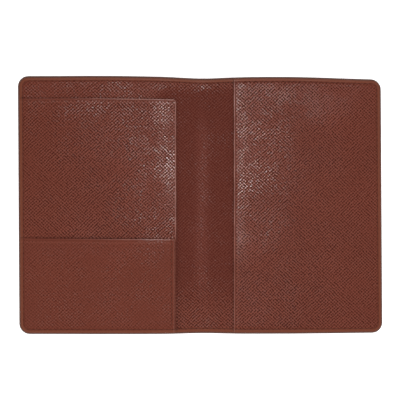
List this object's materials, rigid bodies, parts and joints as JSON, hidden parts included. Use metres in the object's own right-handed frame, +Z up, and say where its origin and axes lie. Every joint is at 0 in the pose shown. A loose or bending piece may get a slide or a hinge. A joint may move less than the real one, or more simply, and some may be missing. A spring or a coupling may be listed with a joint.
{
  "type": "passport holder",
  "caption": "Folding passport holder lying open: coated outer cover, grained leather lining, tall pocket with a card pocket on the left and a full-height sleeve on the right.",
  "frame": {"origin": "middle of the outer cover's underside, on the surface that the open holder lies on", "axes": "+X across the open spread towards the sleeve's fore edge, +Y towards the top edge, +Z up out of the pockets"},
  "size_m": [0.199, 0.14, 0.0046],
  "materials": {
    "coated_canvas": "brown coated cotton canvas, satin, turned in round the edge",
    "grained_leather": "reddish brown cross-grained calf leather, semi-gloss on the grain",
    "stiffening_board": "grey-brown bonded fibre board, matt",
    "filler_sheet": "soft non-woven filler sheet",
    "spine_fabric": "bonded textile strip that folds with the spine",
    "pocket_backing": "thin brown backing cloth glued behind the leather",
    "thread": "waxed red-brown polyester sewing thread"
  },
  "bodies": {
    "spine": {"outer_cover_spine": "coated_canvas", "spine_strip": "spine_fabric", "spine_filler": "filler_sheet", "lining_spine": "grained_leather"},
    "left_cover": {"outer_cover_left": "coated_canvas", "left_board": "stiffening_board", "left_filler": "filler_sheet", "lining_left": "grained_leather", "passport_pocket": "grained_leather", "passport_pocket_backing": "pocket_backing", "card_pocket": "grained_leather", "card_pocket_backing": "pocket_backing"},
    "right_cover": {"outer_cover_right": "coated_canvas", "right_board": "stiffening_board", "right_filler": "filler_sheet", "lining_right": "grained_leather", "passport_sleeve": "grained_leather", "passport_sleeve_backing": "pocket_backing"}
  },
  "joints": [
    {"name": "left_fold", "type": "hinge", "parent": "spine", "child": "left_cover", "pos_m": [-0.0095, 0, 0.0021], "axis": [0, 1, 0], "range_deg": [0, 94]},
    {"name": "right_fold", "type": "hinge", "parent": "spine", "child": "right_cover", "pos_m": [0.0095, 0, 0.0021], "axis": [0, -1, 0], "range_deg": [0, 94]}
  ]
}
